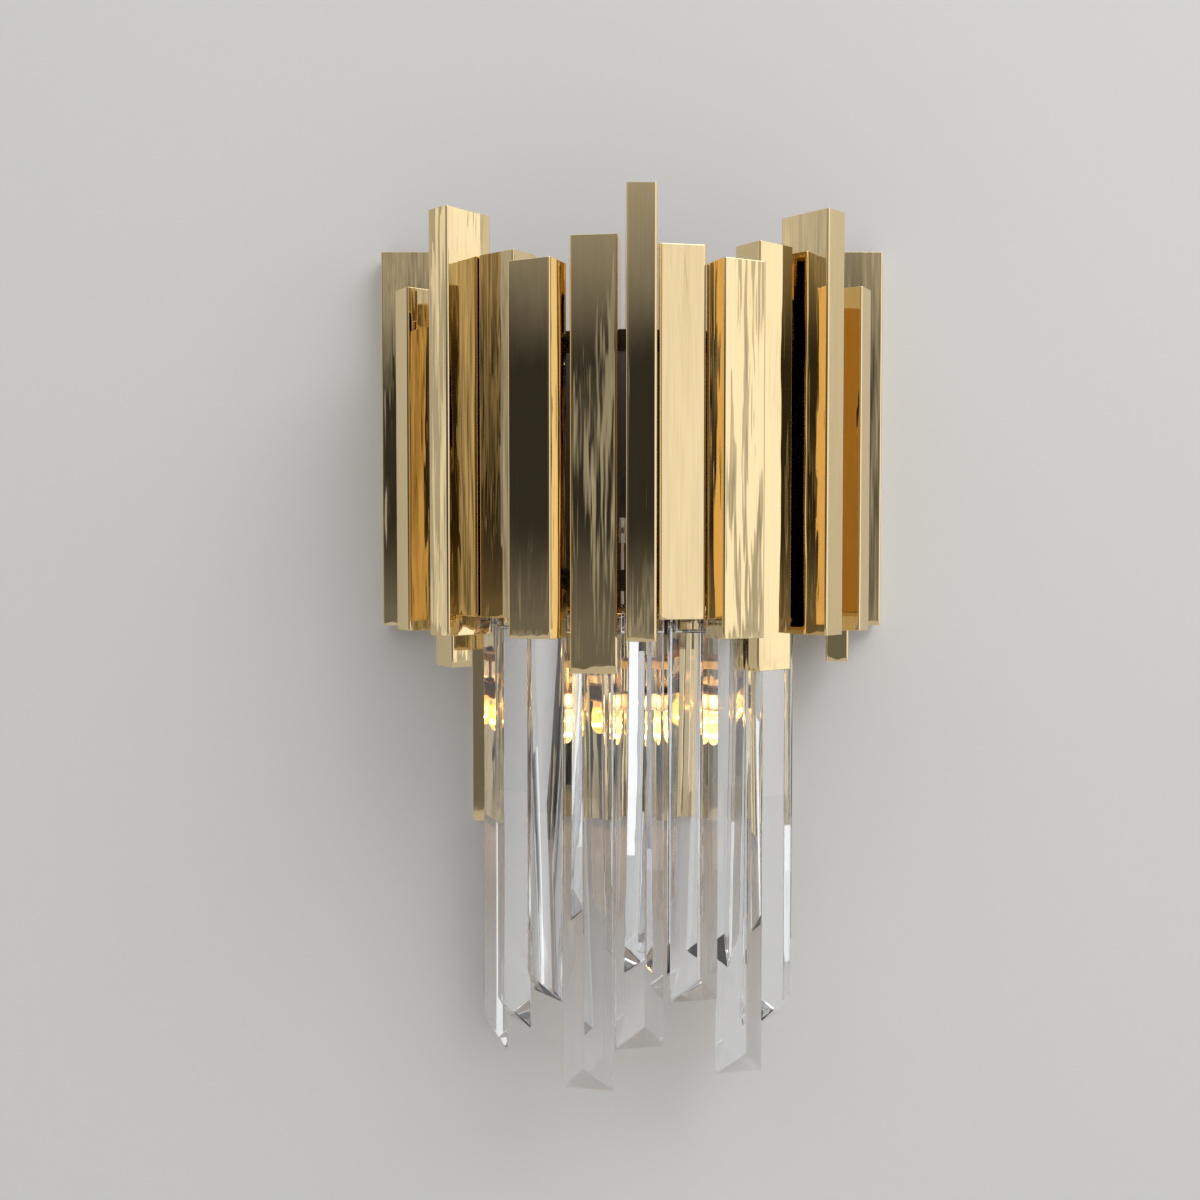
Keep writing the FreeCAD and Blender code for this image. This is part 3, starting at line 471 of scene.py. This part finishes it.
# %% Lamp materials
def glowing(name, colour, strength):
    """Warm light source with a slightly uneven glow."""
    material, tree, shader = new_material(name)
    place = tree.nodes.new("ShaderNodeTexCoord")
    uneven = noise(tree, place.outputs["Object"], 300.0, 1.0, 0.4)
    tint = add_node(tree, "ShaderNodeMix", data_type="RGBA")
    tint.inputs["A"].default_value = (*colour, 1.0)
    tint.inputs["B"].default_value = (colour[0], colour[1] * 0.8, colour[2] * 0.6, 1.0)
    tree.links.new(uneven, tint.inputs["Factor"])
    tree.links.new(tint.outputs["Result"], shader.inputs["Emission Color"])
    shader.inputs["Emission Strength"].default_value = strength
    shader.inputs["Base Color"].default_value = (0.9, 0.75, 0.5, 1.0)
    shader.inputs["Roughness"].default_value = 0.3
    return material


COIL_STRENGTH, HALO_STRENGTH = 60.0, 0.55
coil_glow = glowing("lit coil", (1.0, 0.60, 0.22), COIL_STRENGTH)
bulb_glass = clear_glass("bulb glass", (1.0, 0.96, 0.88), LAMP_INDEX, 0.01, 0.01)
halo = bulb_glass.node_tree.nodes["Principled BSDF"]
halo.inputs["Emission Color"].default_value = (1.0, 0.58, 0.20, 1.0)
halo.inputs["Emission Strength"].default_value = HALO_STRENGTH
print("coil glows at", COIL_STRENGTH)

# %% [markdown]
# Each envelope is lofted through level rings. At the top they are nearly flat, for the
# pinch, and they open into a circle before the dome closes. A second, smaller skin
# inside makes the glass hollow.

# %% Bulb shapes
RING_POINTS = 28
GLASS_THICK = 0.7 * MM
COIL_TURNS, COIL_STEPS = 9, 14
COIL_LONG, COIL_R, COIL_WIRE_R = 5.4 * MM, 0.8 * MM, 0.26 * MM
SUPPORT_R, PIN_R, PIN_OUT = 0.22 * MM, 0.48 * MM, 4 * MM
WIRE_FOOT, WIRE_BEND, WIRE_TOP = 2.9 * MM, 0.3 * MM, 3.6 * MM
PINCH_SHARE, PINCH_HALF_DEEP = 0.9, 1.9 * MM
PINCH_END, SHOULDER, BODY_START = 4.6 * MM, 6.2 * MM, 8.0 * MM


def ring_points(half_x, half_y, centre, squareness):
    """Superellipse ring of a given half width and half depth."""
    points = []
    for i in range(RING_POINTS):
        a = 2 * math.pi * i / RING_POINTS
        c, d = math.cos(a), math.sin(a)
        across = half_x * math.copysign(abs(c) ** squareness, c)
        out = half_y * math.copysign(abs(d) ** squareness, d)
        points.append(centre + Vector((across, out, 0)))
    return points


def loft(bm, rings, flip=False):
    """Skin a stack of rings and close both ends."""
    rows = [[bm.verts.new(p) for p in ring] for ring in rings]
    for upper, lower in zip(rows, rows[1:]):
        for i in range(len(upper)):
            j = (i + 1) % len(upper)
            face = [upper[i], lower[i], lower[j], upper[j]]
            bm.faces.new(face[::-1] if flip else face)
    for row, turn in ((rows[0], flip), (rows[-1], not flip)):
        bm.faces.new(row[::-1] if turn else row)


def sweep(bm, path, radius, sides=7):
    """Round wire along a path of points."""
    rings = []
    for i, point in enumerate(path):
        ahead = path[min(i + 1, len(path) - 1)] - path[max(i - 1, 0)]
        side = ahead.cross(Vector((0.13, 0.2, 0.97))).normalized()
        up = side.cross(ahead).normalized()
        turns = [2 * math.pi * k / sides for k in range(sides)]
        rings.append([point + (side * math.cos(a) + up * math.sin(a)) * radius for a in turns])
    loft(bm, rings)


def new_piece(name, bm, finish, source):
    """Finish a new mesh: outward normals, smooth skin, slot and body."""
    bmesh.ops.recalc_face_normals(bm, faces=bm.faces)
    for face in bm.faces:
        face.smooth = True
    for edge in bm.edges:
        paired = len(edge.link_faces) == 2
        edge.smooth = paired and edge.calc_face_angle() < math.radians(40)
    mesh = bpy.data.meshes.new(name)
    bm.to_mesh(mesh)
    bm.free()
    piece = bpy.data.objects.new(name, mesh)
    bpy.context.scene.collection.objects.link(piece)
    mesh.materials.append(finish)
    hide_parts(source)
    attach(piece, body_of_node[source])


LAMP_GAP = 27 * MM
LAMP_PLACES = (-LAMP_GAP, 0.0, LAMP_GAP)
bulb_low, bulb_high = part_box("lamp_bulbs")
BULB_R = (bulb_high[0] - bulb_low[0] - 2 * LAMP_GAP) / 2
BULB_OUT = -(bulb_low[1] + bulb_high[1]) / 2
SEAT_Z = bulb_high[2] - 5 * MM
DOME_Z = bulb_low[2] + BULB_R


def envelope_rings(shrink):
    """Rings from the pinch down to the tip of the dome."""
    r = BULB_R - shrink
    pinch = PINCH_HALF_DEEP - shrink / 2
    rings = [(SEAT_Z - shrink, r * PINCH_SHARE, pinch, 0.55),
             (SEAT_Z - PINCH_END, r * PINCH_SHARE, pinch, 0.55),
             (SEAT_Z - SHOULDER, r * 0.93, r * 0.62, 0.8),
             (SEAT_Z - BODY_START, r, r * 0.94, 1.0),
             (DOME_Z, r, r, 1.0)]
    for step in range(1, 8):
        a = math.radians(88) * step / 7
        rings.append((DOME_Z - r * math.sin(a), r * math.cos(a), r * math.cos(a), 1.0))
    return rings


def make_envelope(x):
    """Hollow envelope: an outer skin and a smaller one turned inside out."""
    bm = bmesh.new()
    for shrink, flip in ((0.0, False), (GLASS_THICK, True)):
        rings = []
        for z, half_x, half_y, square in envelope_rings(shrink)[2 if flip else 0:]:
            rings.append(ring_points(half_x, half_y, Vector((x, -BULB_OUT, z)), square))
        loft(bm, rings, flip)
    return bm


def make_coil(x):
    """Level coil of fine wire across the lamp."""
    bm = bmesh.new()
    last = COIL_TURNS * COIL_STEPS
    path = []
    for i in range(last + 1):
        a = 2 * math.pi * i / COIL_STEPS
        along = x - COIL_LONG / 2 + COIL_LONG * i / last
        out, up = COIL_R * math.cos(a), COIL_R * math.sin(a)
        path.append(Vector((along, -BULB_OUT + out, DOME_Z + up)))
    sweep(bm, path, COIL_WIRE_R)
    return bm


def make_wires(x):
    """Support wires up to the pinch, and the two pins above it."""
    bm = bmesh.new()
    for hand in (-1, 1):
        foot = Vector((x + hand * WIRE_FOOT, -BULB_OUT, DOME_Z))
        bend = foot + Vector((hand * WIRE_BEND, 0, 3 * MM))
        top = Vector((x + hand * WIRE_TOP, -BULB_OUT, SEAT_Z - 3 * MM))
        sweep(bm, [foot, bend, top], SUPPORT_R)
        pin = Vector((x + hand * PIN_OUT, -BULB_OUT, SEAT_Z - 1.0 * MM))
        tip = Vector((pin.x, pin.y, bulb_high[2]))
        sweep(bm, [pin, pin + Vector((0, 0, 3 * MM)), tip], PIN_R, 10)
    return bm


for number, x in enumerate(LAMP_PLACES, 1):
    new_piece("bulb_envelope_%d" % number, make_envelope(x), bulb_glass,
              "lamp_bulbs")
    new_piece("lamp_coil_%d" % number, make_coil(x), coil_glow,
              "lamp_bulbs")
    new_piece("bulb_wires_%d" % number, make_wires(x), bright_wire,
              "lamp_bulbs")
print("bulbs: envelope radius", round(BULB_R / MM, 2), "mm")

# %% [markdown]
# ## Studio
#
# The light hangs on a pale wall over a pale floor. The wall only shows from the room side,
# and rays that reach it within a few millimetres of the surface that they left pass
# through, so the back of the light can be looked at and is lit.
#
# Mirror metal shows whatever is round it, so the room is planned by what each tube faces.
# It is pale nearly all round, with a low dim zone straight ahead and to the left, which
# gives the tubes there their bronze depth, and a soft brighter side on the right. Uneven
# upright bars run through it, so that the tubes have something to mirror. The camera itself
# sees a plain backdrop wherever the wall and the floor end.
#
# A panel high on the right shapes the shadows. Three small warm lights, just in front of
# the bulbs, carry the light that clear envelopes let out.

# %% Stage and lights
WALL_BACK = 0.6 * MM
NEAR_WALL = 12 * MM
FLOOR_Z = -1.25
LEFT, RIGHT, TOP, FRONT = -4.0, 4.0, 3.0, -5.0
WALL_COLOUR = (0.72, 0.715, 0.70)
FLOOR_COLOUR = (0.60, 0.595, 0.585)


def stage_plane(name, corners, colour):
    """Flat stage surface seen from its front only."""
    bm = bmesh.new()
    bm.faces.new([bm.verts.new(c) for c in corners])
    mesh = bpy.data.meshes.new(name)
    bm.to_mesh(mesh)
    bm.free()
    plane = bpy.data.objects.new(name, mesh)
    bpy.context.scene.collection.objects.link(plane)
    material, tree, shader = new_material(name + " paint")
    shader.inputs["Base Color"].default_value = (*colour, 1.0)
    shader.inputs["Roughness"].default_value = 0.85
    out = next(n for n in tree.nodes if n.type == "OUTPUT_MATERIAL")
    clear = tree.nodes.new("ShaderNodeBsdfTransparent")
    mix = tree.nodes.new("ShaderNodeMixShader")
    side = tree.nodes.new("ShaderNodeNewGeometry")
    path = tree.nodes.new("ShaderNodeLightPath")
    touching = math_node(tree, "LESS_THAN", path.outputs["Ray Length"], NEAR_WALL)
    unseen = math_node(tree, "MAXIMUM", side.outputs["Backfacing"], touching)
    tree.links.new(unseen, mix.inputs["Fac"])
    tree.links.new(shader.outputs["BSDF"], mix.inputs[1])
    tree.links.new(clear.outputs["BSDF"], mix.inputs[2])
    tree.links.new(mix.outputs["Shader"], out.inputs["Surface"])
    mesh.materials.append(material)


stage_plane("studio_wall", [(LEFT, WALL_BACK, FLOOR_Z), (RIGHT, WALL_BACK, FLOOR_Z),
                            (RIGHT, WALL_BACK, TOP), (LEFT, WALL_BACK, TOP)], WALL_COLOUR)
stage_plane("studio_floor", [(LEFT, FRONT, FLOOR_Z), (RIGHT, FRONT, FLOOR_Z),
                             (RIGHT, WALL_BACK, FLOOR_Z), (LEFT, WALL_BACK, FLOOR_Z)],
            FLOOR_COLOUR)


def soft_panel(name, place, aim, wide, tall, watts):
    """Rectangular soft light that faces a point."""
    data = bpy.data.lights.new(name, "AREA")
    data.shape = "RECTANGLE"
    data.size, data.size_y = wide, tall
    data.energy = watts
    lamp = bpy.data.objects.new(name, data)
    bpy.context.scene.collection.objects.link(lamp)
    lamp.location = place
    lamp.rotation_euler = (Vector(aim) - Vector(place)).to_track_quat("-Z", "Y").to_euler()


soft_panel("high_panel", place=(1.5, -1.5, 1.9), aim=(0, 0, -0.1), wide=2.0, tall=1.4,
           watts=30)


GLOW_AHEAD, GLOW_ABOVE, GLOW_WATTS = 12 * MM, 22 * MM, 0.12


def lamp_glow(name, place, watts):
    """Small warm light that only shows in what it lights."""
    data = bpy.data.lights.new(name, "POINT")
    data.shadow_soft_size = 4 * MM
    data.energy = watts
    data.color = (1.0, 0.58, 0.22)
    lamp = bpy.data.objects.new(name, data)
    bpy.context.scene.collection.objects.link(lamp)
    lamp.location = place
    lamp.visible_camera = False
    lamp.visible_transmission = False


for number, x in enumerate(LAMP_PLACES, 1):
    glow_place = (x, -BULB_OUT - GLOW_AHEAD, DOME_Z + GLOW_ABOVE)
    lamp_glow("lamp_glow_%d" % number, glow_place, GLOW_WATTS)
print("stage: wall, floor, a panel and", len(LAMP_PLACES), "lamp glows")

# %% [markdown]
# The room is one background whose level is a function of bearing and height, both read
# from the direction of the ray. Masks mark out the zones, and each zone has its level.
# Every edge of a zone is a pair of angles in degrees, between which its mask rises softly.

# %% The room
PALE_LEVEL, BRIGHT_LEVEL = 0.95, 1.25
DOOR_DROP, LOW_DROP, PALE_BAR_DROP = 0.55, 0.55, 0.38
DIM_LEVEL, DIM_RISE_ABOVE, DIM_RISE_BELOW, DIM_BAR_RISE = 0.035, 0.24, 0.13, 0.42
DIM_LEFT, DIM_RIGHT, DIM_FOOT, DIM_TOP = (-90, -74), (23, 9), (-32, -12), (27, 12)
BRIGHT_LEFT, BRIGHT_RIGHT, BRIGHT_FOOT, BRIGHT_TOP = (20, 34), (125, 100), (-35, -8), (50, 30)
DOOR_LEFT, DOOR_RIGHT, DOOR_TOP = (56.9, 57.3), (70, 66), (40, 25)
GROUND_TOP, PALER_ABOVE, PALER_BELOW = (-14, -34), (8, 14), (2, -4)
BARS_PER_BEARING, BARS_PER_HEIGHT = 11.0, 2.2

world = bpy.data.worlds.new("studio")
bpy.context.scene.world = world
world.use_nodes = True
room = world.node_tree
room.nodes.clear()
w_out = room.nodes.new("ShaderNodeOutputWorld")
w_back = add_node(room, "ShaderNodeBackground", Strength=1.0)
w_place = room.nodes.new("ShaderNodeTexCoord")
w_split = room.nodes.new("ShaderNodeSeparateXYZ")
room.links.new(w_place.outputs["Generated"], w_split.inputs["Vector"])
w_ahead = math_node(room, "MULTIPLY", w_split.outputs["Y"], -1.0)
bearing = math_node(room, "ARCTAN2", w_split.outputs["X"], w_ahead)
height = math_node(room, "ARCSINE", w_split.outputs["Z"])


def past(tree, value, edge):
    """Smooth 0 to 1 as an angle crosses an edge, from its first to its second value."""
    start, end = edge
    ramp = add_node(tree, "ShaderNodeMapRange", interpolation_type="SMOOTHSTEP")
    ramp.inputs["From Min"].default_value = math.radians(min(start, end))
    ramp.inputs["From Max"].default_value = math.radians(max(start, end))
    ramp.inputs["To Min"].default_value = 0.0 if start < end else 1.0
    ramp.inputs["To Max"].default_value = 1.0 if start < end else 0.0
    tree.links.new(value, ramp.inputs["Value"])
    return ramp.outputs["Result"]


def product(tree, *values):
    """Product of several masks."""
    result = values[0]
    for value in values[1:]:
        result = math_node(tree, "MULTIPLY", result, value)
    return result


ahead_mask = product(room, past(room, bearing, DIM_LEFT), past(room, bearing, DIM_RIGHT))
level_mask = product(room, past(room, height, DIM_FOOT), past(room, height, DIM_TOP))
dim_mask = product(room, ahead_mask, level_mask)
right_mask = product(room, past(room, bearing, BRIGHT_LEFT), past(room, bearing, BRIGHT_RIGHT),
                     past(room, height, BRIGHT_FOOT), past(room, height, BRIGHT_TOP))
door_mask = product(room, past(room, bearing, DOOR_LEFT), past(room, bearing, DOOR_RIGHT),
                    past(room, height, DOOR_TOP))
right_rise = math_node(room, "MULTIPLY", right_mask, BRIGHT_LEVEL - PALE_LEVEL)
pale = math_node(room, "ADD", PALE_LEVEL, right_rise)
pale = math_node(room, "SUBTRACT", pale, math_node(room, "MULTIPLY", door_mask, DOOR_DROP))
low_mask = past(room, height, GROUND_TOP)
pale = math_node(room, "SUBTRACT", pale, math_node(room, "MULTIPLY", low_mask, LOW_DROP))
angles = room.nodes.new("ShaderNodeCombineXYZ")
room.links.new(math_node(room, "MULTIPLY", bearing, BARS_PER_BEARING), angles.inputs["X"])
room.links.new(math_node(room, "MULTIPLY", height, BARS_PER_HEIGHT), angles.inputs["Y"])
bar_range = add_node(room, "ShaderNodeMapRange", From_Min=0.52, From_Max=0.70)
room.links.new(noise(room, angles.outputs["Vector"], 1.0, 2.5, 0.55), bar_range.inputs["Value"])
bars = bar_range.outputs["Result"]
above_rise = math_node(room, "MULTIPLY", past(room, height, PALER_ABOVE), DIM_RISE_ABOVE)
below_rise = math_node(room, "MULTIPLY", past(room, height, PALER_BELOW), DIM_RISE_BELOW)
dim = math_node(room, "ADD", DIM_LEVEL, above_rise)
dim = math_node(room, "ADD", dim, below_rise)
dim = math_node(room, "ADD", dim, math_node(room, "MULTIPLY", bars, DIM_BAR_RISE))
pale = math_node(room, "SUBTRACT", pale, math_node(room, "MULTIPLY", bars, PALE_BAR_DROP))
level = add_node(room, "ShaderNodeMix", data_type="FLOAT")
room.links.new(dim_mask, level.inputs["Factor"])
room.links.new(pale, level.inputs["A"])
room.links.new(dim, level.inputs["B"])
room.links.new(level.outputs["Result"], w_back.inputs["Color"])
w_plain = add_node(room, "ShaderNodeBackground", Strength=1.0)
w_plain.inputs["Color"].default_value = (*WALL_COLOUR, 1.0)
w_path = room.nodes.new("ShaderNodeLightPath")
w_mix = room.nodes.new("ShaderNodeMixShader")
room.links.new(w_path.outputs["Is Camera Ray"], w_mix.inputs["Fac"])
room.links.new(w_back.outputs["Background"], w_mix.inputs[1])
room.links.new(w_plain.outputs["Background"], w_mix.inputs[2])
room.links.new(w_mix.outputs["Shader"], w_out.inputs["Surface"])
print("room: levels from", DIM_LEVEL, "to", BRIGHT_LEVEL)

# %% [markdown]
# ## Camera
#
# The camera stands a little left of the middle, level with the lower part of the tubes and
# tipped two degrees down. Its distance and lens were worked out from the edges of the tubes.

# %% Camera
CAMERA_PLACE = (-20.4 * MM, -837.6 * MM, -73.0 * MM)
CAMERA_LENS, CAMERA_TIP = 38.33, 2.07

cam_data = bpy.data.cameras.new("camera")
cam_data.sensor_width = 36.0
cam_data.lens = CAMERA_LENS
camera = bpy.data.objects.new("camera", cam_data)
bpy.context.scene.collection.objects.link(camera)
camera.location = CAMERA_PLACE
camera.rotation_euler = (math.radians(90 - CAMERA_TIP), 0, 0)
bpy.context.scene.camera = camera
bpy.context.scene.view_settings.view_transform = "Standard"
print("camera:", round(cam_data.lens, 2), "mm lens")

# %% Update the scene
bpy.context.view_layer.update()
